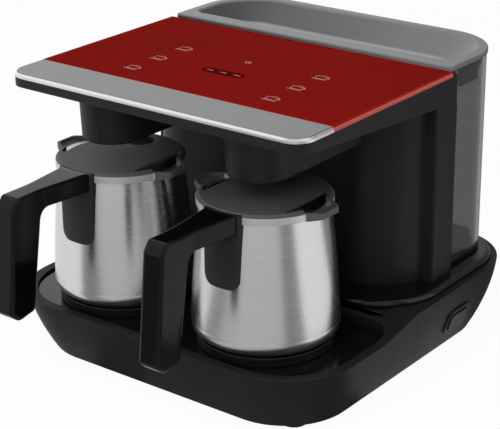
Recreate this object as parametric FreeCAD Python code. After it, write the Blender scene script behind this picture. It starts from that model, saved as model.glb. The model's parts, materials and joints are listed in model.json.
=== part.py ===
import FreeCAD, Part
import math
import os
from FreeCAD import Placement, Rotation, Vector

# Electric Turkish coffee maker with two pots, a touch head and a rear water tank.
# Millimetres. +Z is up, -Y is the front, +X is the right-hand side.
# The origin is on the standing surface, under the middle of the whole object.
# Sizes and places below are from the middle of the base; the last step moves all
# of them back by depth_middle, because the handles reach out in front of the base.

# Clearances
slip = 0.3            # between pieces that come apart or move past each other
seat_gap = 0.5        # between the tank and what it stands on or beside
running_fit = 0.06    # radial, shaft in its hole

# Base: a wide dish whose walls lean in towards the floor
base_half = 144.5         # half of the rim's width and of its depth
base_foot_half = 128.5    # the same at the lower edge
base_corner = 57.0
base_foot_corner = 50.0
base_bulge = 2.5          # how far the wall swells past a straight lean
base_wall = 2.5
plate_thick = 2.5         # bottom plate
foot_height = 2.0
foot_inset = 22.0         # rubber feet, from the lower edge
boss_radius = 5.0
boss_x = 114.0
boss_front_y = -115.0
boss_middle_y = -38.0
boss_inner_y = 55.0
boss_rear_x = 95.0
boss_rear_y = 98.0
gland_radius = 7.0
gland_x = -70.0
gland_z = 24.0
gland_flange = 2.5        # how far flange and nut reach past the barrel
gland_proud = 1.0
gland_nut = 3.0
rim_front_z = 46.0        # rim round the pot tray
rim_rear_z = 55.0         # rim round the raised rear deck
ramp_front_y = -50.0      # the rim climbs from here
ramp_back_y = -8.0        # to here

# Pot tray and rear deck
tray_half = 136.0
tray_front_y = -136.0
tray_back_y = -28.0
tray_corner = 50.0
tray_back_corner = 16.0
tray_sink = 2.0           # tray surface below the front rim
tray_thick = 2.5
deck_half = 139.0
deck_front_y = -25.0
deck_back_y = 139.0
deck_corner = 50.0
deck_thick = 5.0
deck_edge_round = 3.5

# Head: a flat cantilevered slab
head_half = 130.0
head_front_y = -131.0
glass_front_y = -95.0
glass_back_y = 53.0
head_back_y = 60.0
head_top_z = 216.0
hood_drop = 47.0          # from the head's top down to the hoods' floor
pot_clearance = 14.5      # free height between a pot's collar and its hood
head_front_corner = 15.0
head_front_depth = 10.0   # thickness at the front edge
head_rear_depth = 24.0    # thickness at the back edge
head_wall = 2.5
glass_thick = 3.5
glass_bevel = 1.2
strip_bevel = 1.8

# Tower: a rounded column with a wider spine along its back edge
column_half = 121.0
column_front_y = -1.0
column_corner = 45.0
spine_front_y = 33.0
tower_wall = 2.5

# Pots
pot_spread = 65.6         # each pot's axis from the middle plane
pot_y = -84.0
pot_foot_radius = 48.8
pot_foot_height = 7.0
pot_disc_radius = 40.5
pot_belly_radius = 52.3
pot_belly_rise = 12.0     # widest point above the steel's lower edge
pot_neck_radius = 45.4
pot_wall = 1.2
pot_edge_round = 9.0
wall_bow = 0.9            # the wall swells this much past a straight taper

# Collar: plastic ring whose flat cover is open at each side and under the spout,
# with a low pouring lip outside each side opening
collar_radius = 47.4
collar_ring = 4.4         # radial width of the ring
collar_rise = 4.5         # the collar's top above the steel's rim
collar_drop = 7.0         # the skirt reaches this far below the top
collar_edge = 2.4         # slanted edge between the cover and the skirt
cover_thick = 2.2
cover_half = 33.5         # the cover ends in straight edges here
window_half = 24.0        # half length of each side opening
mouth_radius = 10.0       # round opening under the spout
mouth_x = -4.5            # from the pot's axis
mouth_y = 27.5
lip_reach = 55.5
lip_half = 16.0
lip_tip_half = 9.0
lip_drop = 1.2            # lip's upper edge below the cover
lip_foot_rise = 2.6       # the lip's underside climbs this much to its tip
lip_wall = 1.6

# Handle: flat top arm and a slanted grip, in the pot's own section
grip_width = 17.0
arm_width = 27.0
arm_thick = 14.0
handle_rise = 0.5         # the arm's top above the collar
grip_front_top = -117.5
grip_front_foot = -125.5
grip_back_top = -91.0
grip_back_foot = -103.0
grip_drop = 88.0          # from the arm's top to the grip's foot
handle_edge = 2.0
saddle_half = 15.0
saddle_drop = 54.5        # the saddle's lower edge below the collar's top
saddle_thick = 3.0
screw_radius = 2.0
screw_head_radius = 3.6
screw_head_height = 2.2

# Arms that reach over the pots, with a spout and a foam sensor
arm_spread = 66.0
hood_y = -90.0
hood_radius = 22.7
hood_flare = 1.5
hood_wall = 2.2
spout_radius = 4.0
spout_length = 12.0
spout_y = -49.0           # over the rear of the pot's mouth
sensor_radius = 7.0
sensor_y = -64.5          # over its front
sensor_height = 6.0

# Water tank and lid
tank_half = 126.0
tank_back_y = 140.0
tank_corner = 47.0
tank_front_corner = 5.0
tank_wall = 2.5
tank_drop = 1.5           # the tank's mouth below the head's top
lid_thick = 3.5
lid_overhang = 0.8
dish_depth = 14.3         # from the lid's top down to the dish's floor
dish_rim_inset = 6.5
dish_slope = 27.0
dish_side_slope = 15.0
dish_corner = 40.0
valve_radius = 9.0
valve_y = 100.0
valve_drop = 8.0

# Power button in the right-hand wall
button_y = 55.0
button_z = 26.0
button_length = 24.0
button_height = 14.0
button_thick = 4.0
button_proud = 1.0
button_travel = 1.5
bezel_margin = 3.5
plunger_radius = 1.5

# Inner works
board_thick = 1.6
board_half = 110.0
board_front_y = -80.0
board_back_y = 35.0
touch_column_x = 61.0
touch_middle_y = -44.0
touch_pitch = 29.0
dash_pitch = 13.0
arm_hole_radius = 14.0    # openings in the head's floor above the arms
tower_hole_half = 30.0    # and above the tower
tower_hole_front_y = 20.0
tower_hole_back_y = 50.0
hose_radius = 3.0
hose_wall = 0.8
hose_bend = 12.0
hose_low_z = 46.0
hose_rise = 19.0          # the delivery hose above the hoods' floor
pump_y = 32.0
pump_radius = 17.0
pump_height = 46.0
mount_height = 5.0

# Places worked out from the sizes above
hood_floor_z = head_top_z - hood_drop
collar_top_z = hood_floor_z - pot_clearance
pot_rim_z = collar_top_z - collar_rise
handle_top_z = collar_top_z + handle_rise
saddle_foot_z = collar_top_z - saddle_drop
grip_foot_z = handle_top_z - grip_drop
hose_high_z = hood_floor_z + hose_rise
tank_top_z = head_top_z - tank_drop
base_foot_z = foot_height
plate_top_z = base_foot_z + plate_thick
tray_top_z = rim_front_z - tray_sink
deck_top_z = rim_rear_z + deck_thick
pot_foot_z = tray_top_z
steel_foot_z = pot_foot_z + pot_foot_height
glass_foot_z = head_top_z - glass_thick
board_low_z = glass_foot_z - 6.0
head_slope = (head_rear_depth - head_front_depth) / (head_back_y - head_front_y)
tower_back_y = head_back_y
tank_front_y = tower_back_y + seat_gap
tank_foot_z = deck_top_z + seat_gap
lid_foot_z = tank_top_z + slip
dish_floor_z = lid_foot_z + lid_thick - dish_depth
saddle_outer_radius = collar_radius + saddle_thick
valve_foot_z = tank_foot_z - valve_drop
depth_middle = (pot_y + grip_front_foot + base_half) / 2
sides = {"left": -1, "right": 1}


def at_z(z):
    """Map a plan outline to the height z."""
    return lambda u, v: Vector(u, v, z)


def at_x(x):
    """Map a side outline (y, z) to the plane at x."""
    return lambda u, v: Vector(x, u, v)


def rounded_wire(corners, radii, place):
    """Closed outline through the corners, each rounded to its own radius."""
    count = len(corners)
    stretches = []
    for i in range(count):
        here = Vector(*corners[i], 0)
        back = (Vector(*corners[i - 1], 0) - here).normalize()
        ahead = (Vector(*corners[(i + 1) % count], 0) - here).normalize()
        radius = radii[i]
        if radius == 0:
            stretches.append((here, None, here))
            continue
        half_angle = back.getAngle(ahead) / 2
        reach = radius / math.tan(half_angle)
        centre = here + (back + ahead).normalize() * (radius / math.sin(half_angle))
        middle = centre + (here - centre).normalize() * radius
        stretches.append((here + back * reach, middle, here + ahead * reach))
    edges = []
    for i, (start, middle, end) in enumerate(stretches):
        if middle is not None:
            arc = Part.Arc(place(start.x, start.y), place(middle.x, middle.y), place(end.x, end.y))
            edges.append(arc.toShape())
        following = stretches[(i + 1) % count][0]
        if end.distanceToPoint(following) > 1e-6:
            edges.append(Part.makeLine(place(end.x, end.y), place(following.x, following.y)))
    return Part.Wire(edges)


def plan_wire(half, front, back, front_round, back_round, z):
    """Rounded rectangle in plan, the same on both sides of the middle plane."""
    corners = [(-half, front), (half, front), (half, back), (-half, back)]
    return rounded_wire(corners, [front_round, front_round, back_round, back_round], at_z(z))


def upright(wire, height):
    return Part.Face(wire).extrude(Vector(0, 0, height))


def plan_block(half, front, back, front_round, back_round, low, high):
    return upright(plan_wire(half, front, back, front_round, back_round, low), high - low)


def disc(radius, x, y, low, high):
    return Part.makeCylinder(radius, high - low, Vector(x, y, low))


def box(x0, x1, y0, y1, z0, z1):
    return Part.makeBox(x1 - x0, y1 - y0, z1 - z0, Vector(x0, y0, z0))


def ring(outer, inner, x, y, low, high):
    return disc(outer, x, y, low, high).cut(disc(inner, x, y, low - 1, high + 1))


def hose(points, bend):
    """Hollow tube along straight runs joined by tangent arcs."""
    spots = [Vector(*p) for p in points]
    edges = []
    start = spots[0]
    for before, corner, after in zip(spots, spots[1:], spots[2:]):
        back = (before - corner).normalize()
        ahead = (after - corner).normalize()
        half_angle = back.getAngle(ahead) / 2
        reach = bend / math.tan(half_angle)
        centre = corner + (back + ahead).normalize() * (bend / math.sin(half_angle))
        middle = centre + (corner - centre).normalize() * bend
        edges.append(Part.makeLine(start, corner + back * reach))
        edges.append(Part.Arc(corner + back * reach, middle, corner + ahead * reach).toShape())
        start = corner + ahead * reach
    edges.append(Part.makeLine(start, spots[-1]))
    path = Part.Wire(edges)
    along = (spots[1] - spots[0]).normalize()
    solids = []
    for radius in (hose_radius, hose_radius - hose_wall):
        section = Part.Wire(Part.makeCircle(radius, spots[0], along))
        solids.append(path.makePipeShell([section], True, False))
    return solids[0].cut(solids[1])


def base_half_at(z):
    """Half width of the base's outside at height z."""
    share = (z - base_foot_z) / (rim_rear_z - base_foot_z)
    straight = base_foot_half + (base_half - base_foot_half) * share
    return straight + base_bulge * 4 * share * (1 - share)


def base_solid(inset, low, high):
    """The base's leaning outside, drawn in by inset, between two heights."""
    wires = []
    for share in (0, 0.33, 0.67, 1):
        z = low + (high - low) * share
        half = base_half_at(z) - inset
        round_share = (z - base_foot_z) / (rim_rear_z - base_foot_z)
        corner = base_foot_corner + (base_corner - base_foot_corner) * round_share - inset
        wires.append(plan_wire(half, -half, half, corner, corner, z))
    return Part.makeLoft(wires, True, False)


def button_place():
    """Frame whose +X points straight out of the right wall at the button."""
    step = 1.0
    lean = (base_half_at(button_z + step) - base_half_at(button_z - step)) / (2 * step)
    tilt = math.degrees(math.atan(lean))
    return Placement(Vector(base_half_at(button_z), button_y, button_z), Rotation(Vector(0, 1, 0), tilt))


def button_block(length, height, corner, x0, x1):
    """Rounded block in the button's frame, from depth x0 to x1."""
    corners = [(-length / 2, -height / 2), (length / 2, -height / 2),
               (length / 2, height / 2), (-length / 2, height / 2)]
    face = Part.Face(rounded_wire(corners, [corner] * 4, at_x(x0)))
    block = face.extrude(Vector(x1 - x0, 0, 0))
    block.Placement = button_place()
    return block


def boss_spots():
    """Where the bottom plate's screws go."""
    return [(0, boss_front_y), (-boss_x, boss_middle_y), (boss_x, boss_middle_y),
            (0, boss_inner_y), (-boss_rear_x, boss_rear_y), (boss_rear_x, boss_rear_y)]


def base_housing():
    shell = base_solid(0, base_foot_z, rim_rear_z)
    ramp_corners = [(-200, rim_front_z), (ramp_front_y, rim_front_z), (ramp_back_y, rim_rear_z),
                    (ramp_back_y, 90), (-200, 90)]
    ramp = Part.Face(rounded_wire(ramp_corners, [0, 60, 0, 0, 0], at_x(-200)))
    shell = shell.cut(ramp.extrude(Vector(400, 0, 0)))
    pocket_floor = tray_top_z - tray_thick
    shell = shell.cut(plan_block(tray_half, tray_front_y, tray_back_y, tray_corner,
                                 tray_back_corner, pocket_floor, 90))
    shell = shell.cut(base_solid(base_wall, base_foot_z, pocket_floor - base_wall))
    rear_room = plan_block(base_half - 12, tray_back_y + 4, base_half - 9, 20, 45,
                           pocket_floor - base_wall - 1, rim_rear_z - base_wall)
    shell = shell.cut(rear_room)
    for side in sides.values():
        shell = shell.cut(disc(pot_disc_radius + 4, side * pot_spread, pot_y, 20, 60))
        shell = shell.cut(disc(hose_radius + 2.5, side * pot_spread, pump_y, 40, 60))
    shell = shell.cut(disc(valve_radius + 5, 0, valve_y, 40, 60))
    for x, y in boss_spots():
        roof = pocket_floor if y < tray_back_y else rim_rear_z
        boss = ring(boss_radius, screw_radius - 0.4, x, y, plate_top_z, roof - base_wall + 0.5)
        shell = shell.fuse(boss)
    shell = shell.cut(button_block(button_length + 2 * bezel_margin - 2, button_height + 2 * bezel_margin - 2,
                                   5.5, -12, 6))
    gland_hole = Part.makeCylinder(gland_radius, 30, Vector(gland_x, base_half + 5, gland_z), Vector(0, -1, 0))
    return shell.cut(gland_hole)


def cord_gland():
    """Bush in the rear wall where the mains lead would pass, with a nut inside."""
    flange_radius = gland_radius + gland_flange
    outer_y = base_half_at(gland_z + flange_radius)
    inner_y = base_half_at(gland_z - flange_radius) - base_wall

    def rod(radius, start, end):
        return Part.makeCylinder(radius, start - end, Vector(gland_x, start, gland_z), Vector(0, -1, 0))

    outside = rod(flange_radius, outer_y + gland_proud, inner_y).cut(base_solid(-0.02, base_foot_z, rim_rear_z))
    nut = rod(flange_radius, outer_y, inner_y - gland_nut)
    nut = nut.common(base_solid(base_wall + 0.02, base_foot_z, rim_rear_z))
    barrel = rod(gland_radius, outer_y + gland_proud, inner_y - gland_nut)
    bore = rod(gland_radius - gland_flange, outer_y + 10, inner_y - 20)
    return barrel.fuse(outside).fuse(nut).cut(bore)


def base_bottom_plate():
    plate = base_solid(base_wall + slip, base_foot_z, plate_top_z)
    for x, y in boss_spots():
        plate = plate.cut(disc(screw_radius + 0.3, x, y, 0, 10))
        plate = plate.cut(disc(screw_head_radius + 0.4, x, y, 0, base_foot_z + 1.2))
    for x, y in foot_spots():
        plate = plate.cut(disc(4, x, y, 0, 10))
    slots = [box(x - 1.5, x + 1.5, 20, 60, 0, 10) for x in range(-48, 49, 8)]
    return plate.cut(Part.makeCompound(slots))


def foot_spots():
    reach = base_foot_half - foot_inset
    return [(x * reach, y * reach) for x in (-1, 1) for y in (-1, 1)]


def rubber_feet():
    feet = []
    for x, y in foot_spots():
        pad = disc(10, x, y, 0, base_foot_z)
        pad = pad.makeChamfer(0.6, [e for e in pad.Edges if e.BoundBox.ZMax < 0.01])
        feet.append(pad.fuse(disc(4 - 0.05, x, y, base_foot_z - 0.5, plate_top_z)))
    return Part.makeCompound(feet)


def base_screws():
    screws = []
    for x, y in boss_spots():
        head = disc(screw_head_radius, x, y, base_foot_z - 1.0, base_foot_z + 1.2)
        shank = disc(screw_radius - 0.45, x, y, base_foot_z, base_foot_z + 14)
        screws.append(head.fuse(shank))
    return Part.makeCompound(screws)


def pot_tray():
    low = tray_top_z - tray_thick
    tray = plan_block(tray_half - slip, tray_front_y + slip, tray_back_y - slip, tray_corner - slip,
                      tray_back_corner - slip, low, tray_top_z)
    for side in sides.values():
        tray = tray.cut(disc(pot_disc_radius - 3 + slip, side * pot_spread, pot_y, low - 1, tray_top_z + 1))
    return tray


def heater_plate(side):
    """Metal hotplate that lies flush in the tray under one pot."""
    x = side * pot_spread
    top = disc(pot_disc_radius - 3, x, pot_y, tray_top_z - tray_thick, tray_top_z)
    body = disc(pot_disc_radius + 3, x, pot_y, tray_top_z - tray_thick - 4, tray_top_z - tray_thick)
    sensor_hole = disc(6, x, pot_y, 0, 90)
    return top.fuse(body).cut(sensor_hole)


def heating_element(side):
    """Ring-shaped heating rod pressed against the underside of the hotplate."""
    z = tray_top_z - tray_thick - 4 - 3.5
    return Part.makeTorus(26, 3.5, Vector(side * pot_spread, pot_y, z), Vector(0, 0, 1), 0, 360)


def temperature_sensor(side):
    """Spring-mounted sensor button in the middle of the hotplate."""
    x = side * pot_spread
    cap = disc(5, x, pot_y, tray_top_z - 8, tray_top_z)
    flange = disc(9, x, pot_y, tray_top_z - tray_thick - 6, tray_top_z - tray_thick - 4)
    return cap.fuse(flange)


def gloss_deck():
    deck = plan_block(deck_half, deck_front_y, deck_back_y, deck_corner, deck_corner, rim_rear_z, deck_top_z)
    rim = [e for e in deck.Edges if e.BoundBox.ZMin > deck_top_z - 0.01]
    deck = deck.makeFillet(deck_edge_round, rim)
    for side in sides.values():
        deck = deck.cut(disc(hose_radius + 1, side * pot_spread, pump_y, 40, 90))
    return deck.cut(disc(valve_radius + 5, 0, valve_y, 40, 90))


def under_head(z_low, extra=0.0):
    """Everything below the head's sloping underside, raised by extra."""
    y0, y1 = head_front_y - 20, head_back_y + 20
    drop = head_top_z - head_front_depth + extra

    def level(y):
        return drop - (y - head_front_y) * head_slope

    corners = [(y0, z_low), (y1, z_low), (y1, level(y1)), (y0, level(y0))]
    face = Part.Face(rounded_wire(corners, [0] * 4, at_x(-200)))
    return face.extrude(Vector(400, 0, 0))


def head_floor_z(y):
    """Height of the head's underside at y."""
    return head_top_z - head_front_depth - (y - head_front_y) * head_slope


def head_shell():
    low = head_top_z - head_rear_depth - 5
    body = plan_block(head_half, head_front_y, head_back_y, head_front_corner, 3, low, glass_foot_z)
    body = body.cut(under_head(low - 5))
    room = plan_block(head_half - head_wall, head_front_y + head_wall, head_back_y - head_wall,
                      head_front_corner - head_wall, 1, low, glass_foot_z + 1)
    shell = body.cut(room.cut(under_head(low - 5, head_wall)))
    for side in sides.values():
        x = side * arm_spread
        shell = shell.cut(disc(arm_hole_radius, x, hood_y + 8, low, glass_foot_z))
        shell = shell.cut(box(x + side * 4 - tower_hole_half, x + side * 4 + tower_hole_half,
                              tower_hole_front_y, tower_hole_back_y, low, board_low_z))
    for x, y in board_screw_spots():
        shell = shell.fuse(ring(4, 1.2, x, y, head_floor_z(y) + 1, board_low_z))
    return shell


def touch_glass():
    pane = plan_block(head_half, glass_front_y + 0.2, glass_back_y, 0, 2, glass_foot_z, head_top_z)
    top = [e for e in pane.Edges if e.BoundBox.ZMin > head_top_z - 0.01]
    sides_only = [e for e in top if e.BoundBox.YMin > glass_front_y + 1]
    return pane.makeChamfer(glass_bevel, sides_only)


def front_strip():
    strip = plan_block(head_half, head_front_y, glass_front_y, head_front_corner, 0, glass_foot_z, head_top_z)
    edge = [e for e in strip.Edges if e.BoundBox.ZMin > head_top_z - 0.01 and
            e.BoundBox.YMin < glass_front_y - 1]
    strip = strip.makeChamfer(strip_bevel, edge)
    room = plan_block(head_half - 6, head_front_y + 6, glass_front_y - 3, head_front_corner - 6, 0,
                      glass_foot_z - 1, head_top_z - 1.5)
    return strip.cut(room)


def rear_cap():
    """Narrow cover between the glass and the tank lid, on the head's back edge."""
    return box(-tank_half, tank_half, glass_back_y + 0.2, head_back_y, glass_foot_z,
               glass_foot_z + 1.2)


def touch_spots():
    """Where the touch marks are on the glass: two columns and a middle row."""
    columns = [(x, y) for x in (-touch_column_x, touch_column_x)
               for y in (touch_middle_y - touch_pitch, touch_middle_y, touch_middle_y + touch_pitch - 1)]
    middle = [(x, touch_middle_y) for x in (-dash_pitch, 0, dash_pitch)]
    return columns + middle + [(0, touch_middle_y + touch_pitch + 1)]


def touch_board():
    return box(-board_half, board_half, board_front_y, board_back_y, board_low_z, board_low_z + board_thick)


def touch_pads():
    """Sprung contact pads between the board and the glass."""
    low = board_low_z + board_thick
    return Part.makeCompound([disc(5, x, y, low, glass_foot_z) for x, y in touch_spots()])


def board_screw_spots():
    return [(x, y) for x in (-board_half + 10, board_half - 10) for y in (board_front_y + 20, board_back_y - 10)]


def board_screws():
    low = board_low_z + board_thick
    return Part.makeCompound([disc(3, x, y, low, low + 1.5) for x, y in board_screw_spots()])


def tower_outline(inset, low, high):
    column = plan_block(column_half - inset, column_front_y + inset, tower_back_y - inset,
                        column_corner - inset, 2, low, high)
    spine = plan_block(head_half - inset, spine_front_y + inset, tower_back_y - inset, 2.4, 2, low, high)
    return column.fuse(spine).removeSplitter()


def tower_housing():
    shell = tower_outline(0, deck_top_z, head_top_z).common(under_head(deck_top_z))
    shell = shell.cut(tower_outline(tower_wall, deck_top_z - 1, head_top_z))
    for side in sides.values():
        passage = Part.makeCylinder(hose_radius + 1.5, 20, Vector(side * pot_spread, column_front_y - 5, hose_high_z),
                                    Vector(0, 1, 0))
        shell = shell.cut(passage)
    return shell


def arm_wire(side, radius, z):
    """Rounded arm in plan: half a circle in front and straight sides back to the tower."""
    x = side * arm_spread
    back = column_front_y + 12
    left, right = x - radius, x + radius
    arc = Part.Arc(Vector(left, hood_y, z), Vector(x, hood_y - radius, z), Vector(right, hood_y, z))
    edges = [arc.toShape(),
             Part.makeLine(Vector(right, hood_y, z), Vector(right, back, z)),
             Part.makeLine(Vector(right, back, z), Vector(left, back, z)),
             Part.makeLine(Vector(left, back, z), Vector(left, hood_y, z))]
    return Part.Wire(edges)


def arm_solid(side, inset, low):
    top_z = head_top_z - head_front_depth + 2
    wires = [arm_wire(side, hood_radius - inset, low), arm_wire(side, hood_radius + hood_flare - inset, top_z)]
    solid = Part.makeLoft(wires, True, True)
    if inset == 0:
        foot = [e for e in solid.Edges if e.BoundBox.ZMax < low + 0.01 and e.BoundBox.YMax < column_front_y]
        solid = solid.makeFillet(1.5, foot)
    return solid


def arm_shell(side):
    tower = tower_outline(0, hood_floor_z - 5, head_top_z)
    outer = arm_solid(side, 0, hood_floor_z).cut(tower).common(under_head(hood_floor_z - 5))
    shell = outer.cut(arm_solid(side, hood_wall, hood_floor_z + hood_wall))
    x = side * arm_spread
    shell = shell.cut(disc(spout_radius + 0.05, x, spout_y, 150, 180))
    return shell.cut(disc(sensor_radius + 0.05, x, sensor_y, 150, 180))


def spout(side):
    """Water outlet in the floor of the hood, with a flange that rests inside."""
    x = side * arm_spread
    low = hood_floor_z - 2.5
    barrel = disc(spout_radius, x, spout_y, low, low + spout_length)
    flange = disc(spout_radius + 2, x, spout_y, hood_floor_z + hood_wall, hood_floor_z + hood_wall + 2)
    return barrel.fuse(flange).cut(disc(2, x, spout_y, low - 1, low + spout_length + 1))


def foam_sensor(side):
    """Small optical window that watches the foam rise."""
    x = side * arm_spread
    lens = disc(sensor_radius, x, sensor_y, hood_floor_z - 0.8, hood_floor_z + sensor_height)
    flange = disc(sensor_radius + 2, x, sensor_y, hood_floor_z + hood_wall, hood_floor_z + hood_wall + 1.5)
    return lens.fuse(flange)


def tank_solid(inset, low, high):
    return plan_block(tank_half - inset, tank_front_y + inset, tank_back_y - inset,
                      max(tank_front_corner - inset, 1), tank_corner - inset, low, high)


def tank_body():
    outer = tank_solid(0, tank_foot_z, tank_top_z)
    foot = [e for e in outer.Edges if e.BoundBox.ZMax < tank_foot_z + 0.01]
    outer = outer.makeFillet(2, foot)
    inner = tank_solid(tank_wall, tank_foot_z + tank_wall, tank_top_z + 1)
    shell = outer.cut(inner)
    for x in (-45, 45):
        rib = box(x - 1, x + 1, tank_back_y - tank_wall - 3, tank_back_y - 0.5, tank_foot_z + 1, tank_top_z - 30)
        shell = shell.fuse(rib)
    return shell.cut(disc(valve_radius - 2 + 0.05, 0, valve_y, 50, 80))


def tank_valve():
    """Valve body clamped in the tank's floor; its nose drops into the seat."""
    barrel = disc(valve_radius - 2, 0, valve_y, valve_foot_z, tank_foot_z + tank_wall + 8)
    low_flange = disc(valve_radius, 0, valve_y, tank_foot_z - 3, tank_foot_z)
    high_flange = disc(valve_radius + 3, 0, valve_y, tank_foot_z + tank_wall, tank_foot_z + tank_wall + 2.5)
    return barrel.fuse(low_flange).fuse(high_flange).cut(disc(3, 0, valve_y, 40, 90))


def tank_filter():
    """Fine strainer that stands over the valve inside the tank."""
    low = tank_foot_z + tank_wall + 2.5
    cap = ring(valve_radius + 2, valve_radius - 1.9, 0, valve_y, low, low + 12)
    slots = []
    for i in range(8):
        slot = box(valve_radius - 3, valve_radius + 4, -1, 1, low + 3, low + 12)
        slot.rotate(Vector(0, 0, 0), Vector(0, 0, 1), i * 45)
        slot.translate(Vector(0, valve_y, 0))
        slots.append(slot)
    lid = disc(valve_radius + 2, 0, valve_y, low + 12, low + 14)
    return cap.cut(Part.makeCompound(slots)).fuse(lid)


def tank_seat():
    """Socket under the deck that takes the tank's valve and feeds both hoses."""
    floor = valve_foot_z - slip - 2
    cup = disc(valve_radius + 4.7, 0, valve_y, floor - 8, deck_top_z - 0.5)
    cup = cup.cut(disc(valve_radius + 2.4, 0, valve_y, floor, 90))
    for side in sides.values():
        nipple = Part.makeCylinder(hose_radius, 16, Vector(0, valve_y, hose_low_z), Vector(side, 0, 0))
        cup = cup.fuse(nipple)
    return cup


def tank_seal():
    low = valve_foot_z - slip - 2
    return ring(valve_radius + 2.35, valve_radius - 2 + slip, 0, valve_y, low, low + 4)


def lid_outline(inset, low, high):
    return plan_block(tank_half + lid_overhang - inset, glass_back_y + 1 + inset, tank_back_y + lid_overhang - inset,
                      2.5, tank_corner + lid_overhang - inset, low, high)


def dish_wire(grow, share, z):
    """Outline of the lid's dish: share 0 at the rim and 1 on its floor."""
    half = tank_half - dish_rim_inset - dish_side_slope * share + grow
    front = tank_front_y + tank_wall + 4 + 2 * share - grow
    back = tank_back_y - dish_rim_inset - dish_slope * share + grow
    return plan_wire(half, front, back, 8 + grow, dish_corner - 14 * share + grow, z)


def tank_lid():
    top = lid_foot_z + lid_thick
    plate = lid_outline(0, lid_foot_z, top)
    rim = [e for e in plate.Edges if e.BoundBox.ZMin > top - 0.01]
    plate = plate.makeFillet(1.2, rim)
    dish = Part.makeLoft([dish_wire(2, 1, dish_floor_z - 2), dish_wire(2, 0, top - 0.5)], True, True)
    hollow = Part.makeLoft([dish_wire(0, 1, dish_floor_z), dish_wire(0, 0, top), dish_wire(0, 0, top + 2)],
                           True, True)
    return plate.fuse(dish).cut(hollow)


def lid_gasket():
    """Soft rim under the lid that keeps it snug in the tank's mouth."""
    inner = tank_solid(tank_wall + slip + 2.4, lid_foot_z - 7, lid_foot_z)
    outer = tank_solid(tank_wall + slip, lid_foot_z - 6, lid_foot_z)
    dish = Part.makeLoft([dish_wire(2.02, 1, dish_floor_z - 2), dish_wire(2.02, 0, lid_foot_z + lid_thick - 0.5)],
                         True, True)
    return outer.cut(inner).cut(dish).cut(lid_clips())


def lid_clips():
    """Black finger clips under the lid, one at each side of the tank's mouth."""
    clips = []
    for side in sides.values():
        x = side * (tank_half - tank_wall - slip - 2.6 - 2.2)
        clips.append(box(x - 2.2, x + 2.2, 75, 101, lid_foot_z - 17, lid_foot_z))
    dish = Part.makeLoft([dish_wire(2.02, 1, dish_floor_z - 2), dish_wire(2.02, 0, lid_foot_z + lid_thick - 0.5)],
                         True, True)
    return Part.makeCompound([clip.cut(dish) for clip in clips])


def pot_revolve(inset, rim_z):
    """The steel pot's outside, drawn in by inset: a round bottom edge and a waisted wall."""
    low = steel_foot_z + inset
    belly_z = steel_foot_z + pot_belly_rise
    foot_radius = pot_belly_radius - pot_edge_round
    belly = pot_belly_radius - inset
    neck = pot_neck_radius - inset
    axis_foot, axis_top = Vector(0, 0, low), Vector(0, 0, rim_z)
    foot = Vector(foot_radius, 0, low)
    widest = Vector(belly, 0, belly_z)
    bend = Vector(foot_radius + (belly - foot_radius) * 0.75, 0, low + (belly_z - low) * 0.28)
    middle = Vector((belly + neck) / 2 + wall_bow, 0, (belly_z + rim_z) / 2)
    rim = Vector(neck, 0, rim_z)
    edges = [Part.makeLine(axis_foot, foot),
             Part.Arc(foot, bend, widest).toShape(),
             Part.Arc(widest, middle, rim).toShape(),
             Part.makeLine(rim, axis_top),
             Part.makeLine(axis_top, axis_foot)]
    return Part.Face(Part.Wire(edges)).revolve(Vector(0, 0, 0), Vector(0, 0, 1), 360)


def pot_body():
    return pot_revolve(0, pot_rim_z).cut(pot_revolve(pot_wall, pot_rim_z + 0.001))


def pot_heat_disc():
    return disc(pot_disc_radius, 0, 0, pot_foot_z + 0.2, steel_foot_z)


def pot_foot():
    foot = ring(pot_foot_radius, pot_disc_radius, 0, 0, pot_foot_z, steel_foot_z)
    edge = [e for e in foot.Edges if e.BoundBox.ZMax < pot_foot_z + 0.01 and e.BoundBox.XMax > pot_foot_radius - 1]
    return foot.makeChamfer(1, edge)


def lip_outline(inset):
    """Plan of one pouring lip on the right side, drawn in by inset."""
    tip = lip_reach - inset
    root = collar_radius - 3
    start = collar_radius - 12
    return [(start, -lip_half + inset), (root, -lip_half + inset), (tip, -lip_tip_half + inset),
            (tip, lip_tip_half - inset), (root, lip_half - inset), (start, lip_half - inset)]


def lip_block(inset, low, high):
    return upright(rounded_wire(lip_outline(inset), [0, 4, 4, 4, 4, 0], at_z(low)), high - low)


def above_lip_floor(raised):
    """Everything above the sloping underside of a lip, raised by a wall."""
    foot = collar_top_z - collar_drop + raised
    tip = foot + lip_foot_rise
    start, end = collar_radius - 14, lip_reach + 5
    corners = [(start, foot), (collar_radius, foot), (end, tip), (end, tip + 20), (start, tip + 20)]
    face = Part.Face(rounded_wire(corners, [0] * 5, lambda u, v: Vector(u, -40, v)))
    return face.extrude(Vector(0, 80, 0))


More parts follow.
